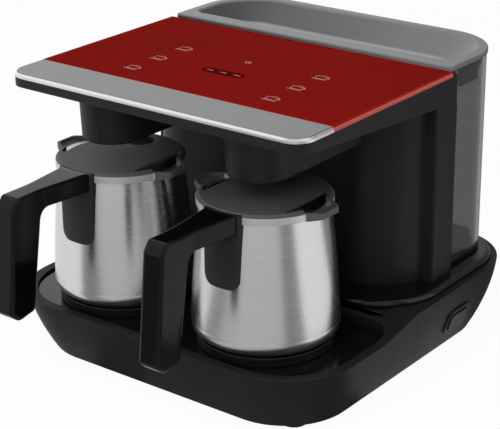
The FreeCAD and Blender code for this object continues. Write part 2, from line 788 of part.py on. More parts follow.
def pot_collar():
    low = collar_top_z - collar_drop
    inner = collar_radius - collar_ring
    body = disc(collar_radius, 0, 0, low, collar_top_z)
    edge = [e for e in body.Edges if e.BoundBox.ZMin > collar_top_z - 0.01]
    body = body.makeChamfer(collar_edge, edge)
    body = body.cut(disc(inner, 0, 0, low - 1, collar_top_z - cover_thick))
    body = body.cut(disc(mouth_radius, mouth_x, mouth_y, low, collar_top_z + 1))
    lip_top = collar_top_z - lip_drop
    lip = lip_block(0, low, lip_top).common(above_lip_floor(0)).cut(disc(inner, 0, 0, low - 1, lip_top + 1))
    channel = lip_block(lip_wall, low, lip_top + 5).common(above_lip_floor(pot_rim_z - low + 0.3))
    window = box(cover_half, inner, -window_half, window_half, low, collar_top_z + 1)
    window = window.common(disc(inner, 0, 0, low, collar_top_z + 1))
    for turn in (0, 180):
        for shape in (lip, channel, window):
            shape.rotate(Vector(0, 0, 0), Vector(0, 0, 1), turn)
        body = body.fuse(lip).cut(channel).cut(window)
    return body.cut(pot_revolve(-0.02, pot_rim_z)).removeSplitter()


def handle_profile(place):
    """Side outline of the handle, (y, z) from the pot's axis."""
    top, under = handle_top_z, handle_top_z - arm_thick
    corners = [(-46, top), (grip_front_top + 5, top), (grip_front_top, top - 7),
               (grip_front_foot, grip_foot_z + 5), (grip_front_foot + 7, grip_foot_z - 1),
               (grip_back_foot, grip_foot_z + 2), (grip_back_top, under), (-46, under)]
    return rounded_wire(corners, [0, 3, 4, 4, 6, 3, 9, 0], place)


def pot_handle():
    side = Part.Face(handle_profile(at_x(-arm_width / 2))).extrude(Vector(arm_width, 0, 0))
    plan = [(-grip_width / 2, -140), (grip_width / 2, -140), (grip_width / 2, -88), (arm_width / 2, -50),
            (arm_width / 2, -40), (-arm_width / 2, -40), (-arm_width / 2, -50), (-grip_width / 2, -88)]
    width = upright(rounded_wire(plan, [0, 0, 30, 0, 0, 0, 0, 30], at_z(40)), 140)
    handle = side.common(width)
    handle = handle.cut(disc(saddle_outer_radius + 0.02, 0, 0, 40, 170))
    long_edges = [e for e in handle.Edges if e.Length > 30 and e.BoundBox.YMax < -80]
    return handle.makeFillet(handle_edge, long_edges)


def handle_saddle():
    """Curved shield on the steel that carries the handle."""
    corners = [(-saddle_half, saddle_foot_z), (saddle_half, saddle_foot_z),
               (saddle_half, handle_top_z - 0.5), (-saddle_half, handle_top_z - 0.5)]
    face = Part.Face(rounded_wire(corners, [8, 8, 0, 0], lambda u, v: Vector(u, -70, v)))
    plug = face.extrude(Vector(0, 40, 0))
    shell = plug.common(disc(saddle_outer_radius, 0, 0, 80, 170))
    shell = shell.cut(pot_revolve(-0.02, pot_rim_z))
    shell = shell.cut(disc(collar_radius + 0.02, 0, 0, collar_top_z - collar_drop - 0.02, 170))
    inner = pot_revolve(-saddle_thick - 1.5, pot_rim_z + 10)
    return shell.common(inner.fuse(disc(saddle_outer_radius, 0, 0, collar_top_z - collar_drop - 3, 170)))


def handle_screws():
    """Two screw heads inside the pot that hold the saddle and the handle."""
    heads = []
    for z in (handle_top_z - arm_thick - 2, saddle_foot_z + 14):
        seat_y = -pot_wall_radius(z)
        head = Part.makeCylinder(screw_head_radius, pot_wall + 2 + screw_head_height,
                                 Vector(0, seat_y + pot_wall + screw_head_height, z), Vector(0, -1, 0))
        heads.append(head.common(pot_revolve(pot_wall + 0.02, pot_rim_z)))
    return Part.makeCompound(heads)


def pot_wall_radius(z):
    """Outside radius of the steel at height z, close to the wall's arc."""
    belly_z = steel_foot_z + pot_belly_rise
    share = (z - belly_z) / (pot_rim_z - belly_z)
    return pot_belly_radius + (pot_neck_radius - pot_belly_radius) * share + 4 * wall_bow * share * (1 - share)


def button_bezel():
    outer = button_block(button_length + 2 * bezel_margin, button_height + 2 * bezel_margin, 6.5, -2, 1.2)
    outer = outer.cut(base_solid(0, base_foot_z, rim_rear_z))
    sleeve = button_block(button_length + 2 * bezel_margin - 2.1, button_height + 2 * bezel_margin - 2.1,
                          5.45, -8, 0)
    hole = button_block(button_length + 2 * slip, button_height + 2 * slip, 4 + slip, -20, 10)
    return outer.fuse(sleeve).cut(hole)


def power_button():
    cap = button_block(button_length, button_height, 4, button_proud - button_thick, button_proud + 1.2)
    stem = Part.makeCylinder(3, 4, Vector(button_proud - button_thick - 4, 0, 0), Vector(1, 0, 0))
    stem.Placement = button_place()
    return cap.fuse(stem)


def switch_plunger():
    start = button_proud - button_thick - 4 - 9
    pin = Part.makeCylinder(plunger_radius, 9, Vector(start, 0, 0), Vector(1, 0, 0))
    pin.Placement = button_place()
    return pin


def power_switch():
    """Switch body behind the button, held on an ear of the bezel's sleeve."""
    face = button_proud - button_thick - 4 - button_travel - 1
    body = button_block(20, 16, 1, face - 14, face)
    bore = Part.makeCylinder(plunger_radius + running_fit, 12, Vector(face - 11, 0, 0), Vector(1, 0, 0))
    bore.Placement = button_place()
    ears = button_block(button_length + 2 * bezel_margin - 2.1, 8, 1, face - 4, -8)
    gap = button_block(button_length + 2 * slip, 20, 1, face, 0)
    return body.fuse(ears.cut(gap)).cut(bore)


def power_board():
    """Mains board on posts that stand on the bottom plate."""
    low = plate_top_z + 8
    board = box(-80, 20, 75, 120, low, low + board_thick)
    posts = [disc(3, x, y, plate_top_z, low) for x in (-74, 14) for y in (81, 114)]
    parts = [box(-66, -40, 82, 108, low + board_thick, low + board_thick + 18),
             disc(7, -26, 95, low + board_thick, low + board_thick + 20),
             box(-12, 12, 85, 105, low + board_thick, low + board_thick + 14)]
    whole = board
    for piece in posts + parts:
        whole = whole.fuse(piece)
    return whole


def pump_mount(side):
    x = side * pot_spread
    return ring(pump_radius - 3, hose_radius + 1, x, pump_y, deck_top_z, deck_top_z + mount_height)


def water_pump(side):
    x = side * pot_spread
    low = deck_top_z + mount_height
    body = disc(pump_radius, x, pump_y, low, low + pump_height)
    yoke = box(x - 20, x + 20, pump_y - 11, pump_y + 11, low + 8, low + 32)
    outlet = disc(hose_radius, x, pump_y, low + pump_height, low + pump_height + 8)
    return body.fuse(yoke).fuse(outlet)


def suction_hose(side):
    x = side * pot_spread
    points = [(side * 16.2, valve_y, hose_low_z), (x, valve_y, hose_low_z), (x, pump_y, hose_low_z),
              (x, pump_y, deck_top_z + mount_height)]
    return hose(points, hose_bend)


def delivery_hose(side):
    x = side * pot_spread
    low = deck_top_z + mount_height + pump_height + 8
    points = [(x, pump_y, low), (x, pump_y, hose_high_z), (side * arm_spread, spout_y, hose_high_z),
              (side * arm_spread, spout_y, hood_floor_z - 2.5 + spout_length)]
    return hose(points, 9)


def build():
    nodes = {
        "base_housing": base_housing(),
        "base_bottom_plate": base_bottom_plate(),
        "rubber_feet": rubber_feet(),
        "base_screws": base_screws(),
        "cord_gland": cord_gland(),
        "pot_tray": pot_tray(),
        "gloss_deck": gloss_deck(),
        "power_board": power_board(),
        "button_bezel": button_bezel(),
        "power_switch": power_switch(),
        "power_button": power_button(),
        "switch_plunger": switch_plunger(),
        "head_shell": head_shell(),
        "touch_glass": touch_glass(),
        "front_strip": front_strip(),
        "rear_cap": rear_cap(),
        "touch_board": touch_board(),
        "touch_pads": touch_pads(),
        "board_screws": board_screws(),
        "tower_housing": tower_housing(),
        "tank_body": tank_body(),
        "tank_valve": tank_valve(),
        "tank_filter": tank_filter(),
        "tank_seat": tank_seat(),
        "tank_seal": tank_seal(),
        "tank_lid": tank_lid(),
        "lid_gasket": lid_gasket(),
        "lid_clips": lid_clips(),
    }
    grouped = {
        "heating_elements": heating_element,
        "temperature_sensors": temperature_sensor,
        "pump_mounts": pump_mount,
    }
    for name, maker in grouped.items():
        nodes[name] = Part.makeCompound([maker(side) for side in sides.values()])
    paired = {
        "arm_shell": arm_shell,
        "spout": spout,
        "foam_sensor": foam_sensor,
        "heater_plate": heater_plate,
        "water_pump": water_pump,
        "suction_hose": suction_hose,
        "delivery_hose": delivery_hose,
    }
    for name, maker in paired.items():
        for side_name, side in sides.items():
            nodes[name + "_" + side_name] = maker(side)
    pot_pieces = {
        "pot_body": pot_body(),
        "pot_heat_disc": pot_heat_disc(),
        "pot_foot": pot_foot(),
        "pot_collar": pot_collar(),
        "pot_handle": pot_handle(),
        "handle_saddle": handle_saddle(),
        "handle_screws": handle_screws(),
    }
    for name, shape in pot_pieces.items():
        for side_name, side in sides.items():
            placed = shape.copy()
            placed.translate(Vector(side * pot_spread, pot_y, 0))
            nodes[name + "_" + side_name] = placed
    return nodes


os.makedirs("parts", exist_ok=True)
for node, shape in build().items():
    shape.translate(Vector(0, -depth_middle, 0))
    shape.exportStep("parts/" + node + ".step")
    print(node, len(shape.Solids), "solids", round(shape.Volume / 1000, 2), "cm3", shape.isValid())
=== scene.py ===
# %% [markdown]
# Electric Turkish coffee maker: the looks
#
# This lesson dresses a finished model of a twin-pot coffee maker. The model's pieces are
# already at their real size, so nothing here moves or resizes them. Each step first says
# what a piece or a finish is on the real machine, and then makes it with Blender's own
# materials, Geometry Nodes and mesh tools.

# %% Load the machine
import json
import math

import bmesh
import bpy
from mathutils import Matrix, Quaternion, Vector


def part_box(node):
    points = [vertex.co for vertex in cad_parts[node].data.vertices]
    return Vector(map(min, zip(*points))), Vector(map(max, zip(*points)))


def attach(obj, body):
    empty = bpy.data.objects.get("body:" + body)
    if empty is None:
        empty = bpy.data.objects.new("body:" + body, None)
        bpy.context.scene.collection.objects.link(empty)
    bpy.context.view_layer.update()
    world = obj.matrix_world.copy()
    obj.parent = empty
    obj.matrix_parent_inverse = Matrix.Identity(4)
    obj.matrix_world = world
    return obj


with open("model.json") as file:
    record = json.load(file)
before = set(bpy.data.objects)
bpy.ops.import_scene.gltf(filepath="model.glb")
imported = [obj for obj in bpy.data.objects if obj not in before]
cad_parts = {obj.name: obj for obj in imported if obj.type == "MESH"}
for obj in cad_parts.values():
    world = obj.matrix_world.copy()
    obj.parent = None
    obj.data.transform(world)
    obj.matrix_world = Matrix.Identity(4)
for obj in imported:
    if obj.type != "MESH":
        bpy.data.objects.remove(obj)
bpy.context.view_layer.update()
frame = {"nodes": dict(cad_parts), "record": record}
scene = bpy.context.scene
scene.view_settings.view_transform = "Standard"

# %% [markdown]
# The camera stands to the right of the machine and a little above it, far enough away
# that the sides stay nearly parallel. Its place could be typed as three coordinates; two
# angles and a distance are used instead, because those are easy to read and to change. A
# small roll about its own line of sight levels the machine the way the picture has it.

# %% Camera
view_azimuth = math.radians(37.83)
view_elevation = math.radians(22.0)
view_roll = math.radians(-0.60)
view_distance = 1.2207
aim = Vector((0.0014, 0.0143, 0.1000))

towards_camera = Vector((math.sin(view_azimuth) * math.cos(view_elevation),
                         -math.cos(view_azimuth) * math.cos(view_elevation),
                         math.sin(view_elevation)))
camera_data = bpy.data.cameras.new("camera")
camera_data.sensor_width = 36.0
camera_data.lens = 118.08
camera = bpy.data.objects.new("camera", camera_data)
camera.location = aim + towards_camera * view_distance
camera.rotation_mode = "QUATERNION"
camera.rotation_quaternion = ((-towards_camera).to_track_quat("-Z", "Y")
                              @ Quaternion((0, 0, 1), view_roll))
scene.collection.objects.link(camera)
scene.camera = camera
print("camera at", [round(c, 3) for c in camera.location])

# %% [markdown]
# Every material below is a small tree of nodes. Adding nodes first and joining them
# afterwards takes two long lists that have to be read side by side. Here a node is added
# together with what feeds it: a plain value is set on its socket, and the output of another
# node is joined to it. Three more helpers cover sums, mixed colours and node groups.


# %% Node helpers
def join(tree, source, target):
    """Joins one node's output to another node's input."""
    tree.links.new(source, target)


def add(tree, kind, inputs=None, **settings):
    """Adds one node, sets its options, then sets or joins its inputs."""
    family = "GeometryNode" if tree.bl_idname == "GeometryNodeTree" else "ShaderNode"
    made = tree.nodes.new(family + kind)
    for name, value in settings.items():
        setattr(made, name, value)
    for name, value in (inputs or {}).items():
        if isinstance(value, bpy.types.NodeSocket):
            join(tree, value, made.inputs[name])
        else:
            made.inputs[name].default_value = value
    return made


def maths(tree, operation, *values):
    """The result of a Math node; each value is a number or another node's output."""
    return add(tree, "Math", dict(enumerate(values)), operation=operation).outputs[0]


def mix(tree, share, first, second):
    """Goes from the first colour to the second one as the share goes from 0 to 1."""
    blend = add(tree, "Mix", {"Factor": share, "A": first, "B": second}, data_type="RGBA")
    return blend.outputs["Result"]


def new_group(name, inputs, outputs, kind="ShaderNodeTree"):
    """A node group with named sockets, and its two end nodes."""
    group = bpy.data.node_groups.new(name, kind)
    for socket, socket_kind, value in inputs:
        made = group.interface.new_socket(socket, in_out="INPUT",
                                          socket_type="NodeSocket" + socket_kind)
        if value is not None:
            made.default_value = value
    for socket, socket_kind in outputs:
        group.interface.new_socket(socket, in_out="OUTPUT",
                                   socket_type="NodeSocket" + socket_kind)
    return group, group.nodes.new("NodeGroupInput"), group.nodes.new("NodeGroupOutput")


# %% [markdown]
# The light is a white studio. Polished and brushed metal only looks like metal when it
# has something to reflect, so the world is not one flat grey: it holds wide upright
# panels, one on the left, one on the right and a dimmer one in front, with darker gaps
# between them. A picture of a studio would do this too, but a few nodes need no file, and
# their numbers can be changed. One node group makes a panel from a direction, a half width
# and a level, and a second one adds three of them up.


# %% Studio panels
def direction(azimuth):
    """Level direction towards something that stands at that azimuth, in degrees."""
    turn = math.radians(azimuth)
    return (math.sin(turn), -math.cos(turn), 0.0)


def make_panel_group(softness):
    """One upright panel of light, whose sides fade over twice the softness in radians."""
    group, start, end = new_group(
        "studio_panel",
        [("Look", "Vector", None), ("Towards", "Vector", (1, 0, 0)),
         ("Half width", "Float", 0.5), ("Level", "Float", 1.0)],
        [("Light", "Float")])
    given = start.outputs
    flat = add(group, "VectorMath", {0: given["Look"], 1: (1, 1, 0)}, operation="MULTIPLY")
    unit = add(group, "VectorMath", {0: flat.outputs[0]}, operation="NORMALIZE")
    facing = add(group, "VectorMath", {0: unit.outputs[0], 1: given["Towards"]},
                 operation="DOT_PRODUCT")
    angle = maths(group, "ARCCOSINE", facing.outputs["Value"])
    past = maths(group, "SUBTRACT", angle, given["Half width"])
    edge = add(group, "MapRange", {"Value": past, "From Min": softness, "From Max": -softness},
               interpolation_type="SMOOTHSTEP")
    lit = maths(group, "MULTIPLY", edge.outputs["Result"], given["Level"])
    join(group, lit, end.inputs["Light"])
    return group


def make_studio_group(panels, dim_level):
    """Adds up the panels, each given as azimuth and half width in degrees, and level."""
    group, start, end = new_group("studio_light", [("Look", "Vector", None)],
                                  [("Light", "Float")])
    panel_group = make_panel_group(softness=0.07)
    running = dim_level
    for name, (azimuth, half_width, level) in panels.items():
        panel = add(group, "Group",
                    {"Look": start.outputs["Look"], "Towards": direction(azimuth),
                     "Half width": math.radians(half_width), "Level": level},
                    node_tree=panel_group, label=name)
        running = maths(group, "ADD", running, panel.outputs["Light"])
    join(group, running, end.inputs["Light"])
    return group


panels = {"left": (-90.5, 58.5, 0.66), "front": (26, 34, 0.28), "right": (107, 26, 0.68)}
studio_group = make_studio_group(panels, dim_level=0.18)
print("studio panels:", ", ".join(panels))

# %% [markdown]
# The world shows that studio to everything that it lights. The camera and see-through
# plastic look out at plain white instead, as in a catalogue picture, and a shiny surface
# sees more of that white where a panel stands in its line.

# %% World
white = (1, 1, 1, 1)
world = bpy.data.worlds.new("studio")
world.use_nodes = True
scene.world = world
sky = world.node_tree
sky.nodes.clear()
look = add(sky, "TexCoord")
light = add(sky, "Group", {"Look": look.outputs["Generated"]}, node_tree=studio_group)
ray = add(sky, "LightPath")
clear = maths(sky, "MAXIMUM", ray.outputs["Is Camera Ray"], ray.outputs["Is Transmission Ray"])
shiny = maths(sky, "MULTIPLY", ray.outputs["Is Glossy Ray"], light.outputs["Light"])
studio = add(sky, "Background", {"Strength": light.outputs["Light"]})
plain = add(sky, "Background", {"Color": white, "Strength": 1.0})
choose = add(sky, "MixShader", {"Fac": maths(sky, "MAXIMUM", clear, shiny),
                                1: studio.outputs[0], 2: plain.outputs[0]})
add(sky, "OutputWorld", {"Surface": choose.outputs[0]})
print("world nodes:", len(sky.nodes))

# %% [markdown]
# Two large soft lamps hang above and in front, where a photographer would put wide
# softboxes. They light the machine from above and give the floor its faint shadow. Small
# lamps would draw hard shadows, so these are about a metre wide. Shiny surfaces don't show
# them, because the panels already give those something to reflect.


# %% Lamps
def soft_lamp(name, azimuth, height, distance, size, power):
    """A square area lamp that looks at the machine's middle."""
    data = bpy.data.lights.new(name, "AREA")
    data.size = size
    data.energy = power
    lamp = bpy.data.objects.new(name, data)
    across = Vector(direction(azimuth)) * distance
    lamp.location = aim + across + Vector((0, 0, height))
    lamp.rotation_mode = "QUATERNION"
    lamp.rotation_quaternion = (aim - lamp.location).to_track_quat("-Z", "Y")
    lamp.visible_glossy = False
    scene.collection.objects.link(lamp)
    print(name, "at", [round(c, 2) for c in lamp.location])


soft_lamp("overhead_softbox", azimuth=20, height=1.25, distance=0.35, size=1.2, power=9.5)
soft_lamp("front_softbox", azimuth=12, height=0.72, distance=1.1, size=0.8, power=7.0)

# %% [markdown]
# The floor is pale and plain. A floor that is only lit would turn grey beside the white
# background, so for the camera it is nearly self-lit, and a little of its own shading is
# left in to keep a soft shadow under the machine. In the steel and the glossy black it
# shows the same panels as the studio around it, a little fainter.

# %% Floor
floor_half = 4.0
floor_shape = bmesh.new()
bmesh.ops.create_grid(floor_shape, x_segments=1, y_segments=1, size=floor_half)
floor_mesh = bpy.data.meshes.new("floor")
floor_shape.to_mesh(floor_mesh)
floor_shape.free()
floor = bpy.data.objects.new("floor", floor_mesh)
scene.collection.objects.link(floor)
print("floor half size:", floor_half)

# %% [markdown]
# The paper of the floor mixes two shaders: a matt one that takes light and shadow, and a
# glow. How much of the glow shows depends on the kind of ray that looks at it, so the
# machine is lit by a matt floor while the camera sees a nearly white one.

# %% Floor paper
paper_colour = (0.85, 0.85, 0.85, 1)
panels_in_floor = 0.92
glow_for_camera = 0.95
glow_for_gloss = 0.90
paper = bpy.data.materials.new("studio_floor")
paper.use_nodes = True
tree = paper.node_tree
tree.nodes.clear()
place = add(tree, "TexCoord")
light = add(tree, "Group", {"Look": place.outputs["Object"]}, node_tree=studio_group)
ray = add(tree, "LightPath")
clear = maths(tree, "MAXIMUM", ray.outputs["Is Camera Ray"], ray.outputs["Is Transmission Ray"])
faint = maths(tree, "MULTIPLY", light.outputs["Light"], panels_in_floor)
share = maths(tree, "MAXIMUM", maths(tree, "MULTIPLY", clear, glow_for_camera),
              maths(tree, "MULTIPLY", ray.outputs["Is Glossy Ray"], glow_for_gloss))
matt = add(tree, "BsdfDiffuse", {"Color": paper_colour})
bright = add(tree, "Emission", {"Color": white, "Strength": maths(tree, "MAXIMUM", clear, faint)})
blend_floor = add(tree, "MixShader", {"Fac": share, 1: matt.outputs[0], 2: bright.outputs[0]})
add(tree, "OutputMaterial", {"Surface": blend_floor.outputs[0]})
floor.data.materials.append(paper)
print("floor nodes:", len(tree.nodes))

# %% [markdown]
# Nearly every surface of the machine is moulded plastic. A mould leaves a fine grain and faint
# clouds where the gloss differs, which a flat colour lacks, and its edges are a little round,
# so they catch the light. Rounding every edge of the model would change its shape and add many
# faces, so the Bevel node rounds the shading alone, and comparing its normal with the true one
# tells where those edges are; a paler colour is mixed in there as a painted highlight. One
# node group gives all three to every plastic.


# %% Moulded skin
def swing(tree, noise):
    """Spreads the middle part of a noise over -1 to 1."""
    spread = add(tree, "MapRange", {"Value": noise.outputs["Fac"], "From Min": 0.3,
                                    "From Max": 0.7, "To Min": -1.0, "To Max": 1.0})
    return spread.outputs["Result"]


def tint(tree, colour, drift):
    """Makes a colour lighter or darker by that share of itself."""
    level = maths(tree, "ADD", drift, 1.0)
    return add(tree, "VectorMath", {0: colour, "Scale": level}, operation="SCALE").outputs[0]


def make_skin_group():
    """Grain, clouds and a painted highlight on rounded edges, laid over a colour and a roughness.
    """
    clouds_per_metre = 22.0
    grain_depth = 0.00012
    gloss_drift = 0.5
    edge_starts = 0.995
    edge_full = 0.80
    group, start, end = new_group(
        "moulded_skin",
        [("Colour", "Color", None), ("Roughness", "Float", 0.5),
         ("Grains per metre", "Float", 3000.0), ("Grain height", "Float", 0.2),
         ("Clouds", "Float", 0.1), ("Edge light", "Float", 0.5),
         ("Edge radius", "Float", 0.0006), ("Edge highlight colour", "Color", (0.30, 0.30, 0.30, 1))],
        [("Colour", "Color"), ("Roughness", "Float"), ("Normal", "Vector")])
    given = start.outputs
    place = add(group, "TexCoord").outputs["Object"]
    grain = add(group, "TexNoise", {"Vector": place, "Scale": given["Grains per metre"],
                                    "Detail": 2.0})
    cloud = add(group, "TexNoise", {"Vector": place, "Scale": clouds_per_metre, "Detail": 4.0})
    drift = maths(group, "MULTIPLY", swing(group, cloud), given["Clouds"])
    tinted = tint(group, given["Colour"], drift)
    round_edge = add(group, "Bevel", {"Radius": given["Edge radius"]}, samples=6)
    true_face = add(group, "NewGeometry")
    same_way = add(group, "VectorMath", {0: round_edge.outputs["Normal"],
                                         1: true_face.outputs["True Normal"]},
                   operation="DOT_PRODUCT")
    # Where the rounded normal turns from the true one, the edge colour is mixed in as a painted
    # highlight.
    edge = add(group, "MapRange", {"Value": same_way.outputs["Value"],
                                   "From Min": edge_starts, "From Max": edge_full})
    edge_highlight_share = maths(group, "MULTIPLY", edge.outputs["Result"], given["Edge light"])
    bump = add(group, "Bump", {"Distance": grain_depth, "Height": grain.outputs["Fac"],
                               "Strength": given["Grain height"],
                               "Normal": round_edge.outputs["Normal"]})
    join(group, mix(group, edge_highlight_share, tinted, given["Edge highlight colour"]), end.inputs["Colour"])
    join(group, maths(group, "MULTIPLY_ADD", drift, gloss_drift, given["Roughness"]),
         end.inputs["Roughness"])
    join(group, bump.outputs["Normal"], end.inputs["Normal"])
    return group


skin_group = make_skin_group()
print("skin group nodes:", len(skin_group.nodes))

# %% [markdown]
# Each plastic is a Principled shader that the skin group feeds. A value that is the same
# all over a piece, such as how strongly it mirrors, is set on the shader itself.


# %% A finish from the skin
def plain_material(name):
    """An empty node material with its Principled shader and output."""
    material = bpy.data.materials.new(name)
    material.use_nodes = True
    tree = material.node_tree
    tree.nodes.clear()
    shader = add(tree, "BsdfPrincipled")
    add(tree, "OutputMaterial", {"Surface": shader.outputs[0]})
    return material, tree, shader


def feed(tree, surface, shader):
    """Joins the outputs of a surface group to the shader."""
    join(tree, surface.outputs["Colour"], shader.inputs["Base Color"])
    join(tree, surface.outputs["Roughness"], shader.inputs["Roughness"])
    join(tree, surface.outputs["Normal"], shader.inputs["Normal"])


def moulded(name, colour, roughness, grains=3000.0, grain=0.2, clouds=0.08, edge=0.25,
            edge_radius=0.0006, edge_highlight_colour=(0.30, 0.30, 0.30), **sockets):
    """Moulded plastic, rubber or painted metal, from the shared skin."""
    material, tree, shader = plain_material(name)
    skin = add(tree, "Group",
               {"Colour": (*colour, 1), "Roughness": roughness, "Grains per metre": grains,
                "Grain height": grain, "Clouds": clouds, "Edge light": edge,
                "Edge radius": edge_radius, "Edge highlight colour": (*edge_highlight_colour, 1)},
               node_tree=skin_group)
    feed(tree, skin, shader)
    for socket, value in sockets.items():
        shader.inputs[socket.replace("_", " ")].default_value = value
    return material


# %% [markdown]
# The base and the tower are a matt charcoal, the deck and the tray are gloss black, and the
# pots' collars are a paler grey. The handles are gloss black too, with a wide painted
# highlight on their soft corners, and the saddle that holds one to its pot is matt. Rubber,
# hoses and pumps hide inside or underneath, so theirs are plain. The colours are much darker
# than they look, because even a black plastic mirrors some of the white around it.

# %% Plastic finishes
finishes = {
    "base_plastic": moulded("charcoal_base", (0.0120, 0.0120, 0.0122), 0.50, edge=0.10,
                            Specular_IOR_Level=0.11),
    "tower_plastic": moulded("charcoal_tower", (0.0120, 0.0120, 0.0123), 0.44, edge=0.06,
                             Specular_IOR_Level=0.20),
    "gloss_black": moulded("gloss_black", (0.004, 0.004, 0.004), 0.12, grains=900.0,
                           grain=0.02, clouds=0.05, edge=0.04, edge_radius=0.0010,
                           Specular_IOR_Level=0.40),
    "collar_plastic": moulded("collar_grey", (0.072, 0.072, 0.073), 0.48, edge=0.22,
                              edge_radius=0.0004, Specular_IOR_Level=0.25),
    "button_plastic": moulded("button_grey", (0.0115, 0.0115, 0.0118), 0.42, edge=0.12,
                              Specular_IOR_Level=0.12),
    "pot_foot_plastic": moulded("foot_black", (0.005, 0.005, 0.005), 0.35,
                                Specular_IOR_Level=0.3),
    "clip_plastic": moulded("clip_black", (0.005, 0.005, 0.005), 0.35,
                            Specular_IOR_Level=0.3),
    "rubber": moulded("soft_rubber", (0.012, 0.012, 0.012), 0.75, grains=1500.0, grain=0.35,
                      Specular_IOR_Level=0.25),
    "inner_plastic": moulded("inner_plastic", (0.060, 0.062, 0.058), 0.50),
    "pump_metal": moulded("pump_paint", (0.10, 0.10, 0.11), 0.40),
    "clear_hose": moulded("milky_hose", (0.55, 0.55, 0.52), 0.40),
}
# The handles' pale edge colour over a wide rounded edge is a painted highlight on their corners.
handle_black = moulded("handle_black", (0.002, 0.002, 0.002), 0.11, grains=900.0, grain=0.02,
                       clouds=0.05, edge=0.75, edge_radius=0.0028,
                       edge_highlight_colour=(0.045, 0.045, 0.045), Specular_IOR_Level=0.20)
saddle_grey = moulded("saddle_grey", (0.015, 0.015, 0.0153), 0.45, edge=0.10,
                      edge_radius=0.0005, Specular_IOR_Level=0.25)
own_finish = {"pot_handle": handle_black, "handle_saddle": saddle_grey}
print("moulded finishes:", len(finishes) + len(own_finish))

# %% [markdown]
# The pots are stainless steel, brushed around. Brushing draws fine level lines, and those
# lines smear every reflection up and down, so the panels of the studio turn into upright
# bands. Lines deep enough to do that by themselves would need far more samples. The
# Principled shader has the smear built in, and it runs along the tangent, which is simply
# set upright. The lines themselves are a noise that is squeezed very thin in height.


# %% Brushed metal
def make_brush_group():
    """Fine lines, laid over a colour, a roughness and a normal."""
    line_depth = 0.00005
    roughness_swing = 0.05
    group, start, end = new_group(
        "brushed_lines",
        [("Stretch", "Vector", (4, 4, 900)), ("Roughness", "Float", 0.25),
         ("Depth", "Float", 0.1), ("Shade", "Float", 0.1), ("Colour", "Color", None),
         ("Edge radius", "Float", 0.0004)],
        [("Colour", "Color"), ("Roughness", "Float"), ("Normal", "Vector")])
    given = start.outputs
    place = add(group, "TexCoord").outputs["Object"]
    thin = add(group, "VectorMath", {0: place, 1: given["Stretch"]}, operation="MULTIPLY")
    lines = add(group, "TexNoise", {"Vector": thin.outputs[0], "Scale": 1.0, "Detail": 5.0,
                                    "Roughness": 0.65})
    wave = swing(group, lines)
    tinted = tint(group, given["Colour"], maths(group, "MULTIPLY", wave, given["Shade"]))
    rough = maths(group, "MULTIPLY_ADD", wave, roughness_swing, given["Roughness"])
    round_edge = add(group, "Bevel", {"Radius": given["Edge radius"]}, samples=4)
    bump = add(group, "Bump", {"Distance": line_depth, "Height": lines.outputs["Fac"],
                               "Strength": given["Depth"],
                               "Normal": round_edge.outputs["Normal"]})
    join(group, tinted, end.inputs["Colour"])
    join(group, rough, end.inputs["Roughness"])
    join(group, bump.outputs["Normal"], end.inputs["Normal"])
    return group


brush_group = make_brush_group()


def brushed(name, colour, roughness, stretch, depth=0.1, shade=0.08, smear=0.0):
    """Brushed metal; smear stretches its reflections upright, as on a turned piece."""
    material, tree, shader = plain_material(name)
    lines = add(tree, "Group", {"Stretch": stretch, "Roughness": roughness, "Depth": depth,
                                "Shade": shade, "Colour": (*colour, 1)},
                node_tree=brush_group)
    feed(tree, lines, shader)
    shader.inputs["Metallic"].default_value = 1.0
    shader.inputs["Anisotropic"].default_value = smear
    if smear:
        upright = add(tree, "CombineXYZ", {"Z": 1.0})
        join(tree, upright.outputs[0], shader.inputs["Tangent"])
    return material


print("brush group nodes:", len(brush_group.nodes))

# %% [markdown]
# Four metals share the brush. The steel is brushed around and has the smear, the front strip
# is a satin silver with lines along its length, and the heater plates and screws are
# plainer.

# %% Metal finishes
finishes["pot_steel"] = brushed("brushed_pot_steel", (0.80, 0.80, 0.805), 0.26,
                                stretch=(3, 3, 2600), depth=0.018, shade=0.05, smear=0.62)
finishes["silver_strip"] = brushed("satin_silver", (0.25, 0.257, 0.258), 0.36,
                                   stretch=(6, 1400, 1400), depth=0.06, shade=0.05)
finishes["hot_metal"] = brushed("turned_aluminium", (0.62, 0.62, 0.62), 0.38,
                                stretch=(900, 900, 20), depth=0.10)
finishes["steel_fixings"] = brushed("plain_steel", (0.58, 0.58, 0.60), 0.28,
                                    stretch=(300, 300, 300))
print("metals done, finishes so far:", len(finishes))

# %% [markdown]
# The touch panel is glass with red paint on its back. Real glass over a painted sheet would
# have to be traced through for a look that hardly differs, so it is one opaque red with a
# faint clear coat. The skin's edge colour is pink here: a painted highlight along the bevel.

# %% Red glass
finishes["touch_glass"] = moulded("red_glass", (0.170, 0.0040, 0.0024), 0.35, grain=0.0,
                                  clouds=0.05, edge=0.85, edge_radius=0.0009,
                                  edge_highlight_colour=(0.75, 0.13, 0.12), Coat_Weight=0.02,
                                  Coat_Roughness=0.03, Specular_IOR_Level=0.0)
print("red glass done, finishes so far:", len(finishes))

# %% [markdown]
# Two painted highlights follow the height of a piece. The silver strip is satin on top, and
# its front bevel below that is painted near white, which draws the bright line along the head.
# The glass below its top is painted pale pink, a painted highlight along its edge. Each could
# be a piece of its own, but a mask from the Object coordinates gives a clean line without a
# seam, and it stays in place when a piece moves.


# %% Painted highlights on the bevel and the glass edge
def piece_axes(tree):
    """A piece's own coordinates, one by one."""
    place = add(tree, "TexCoord")
    return add(tree, "SeparateXYZ", {0: place.outputs["Object"]})


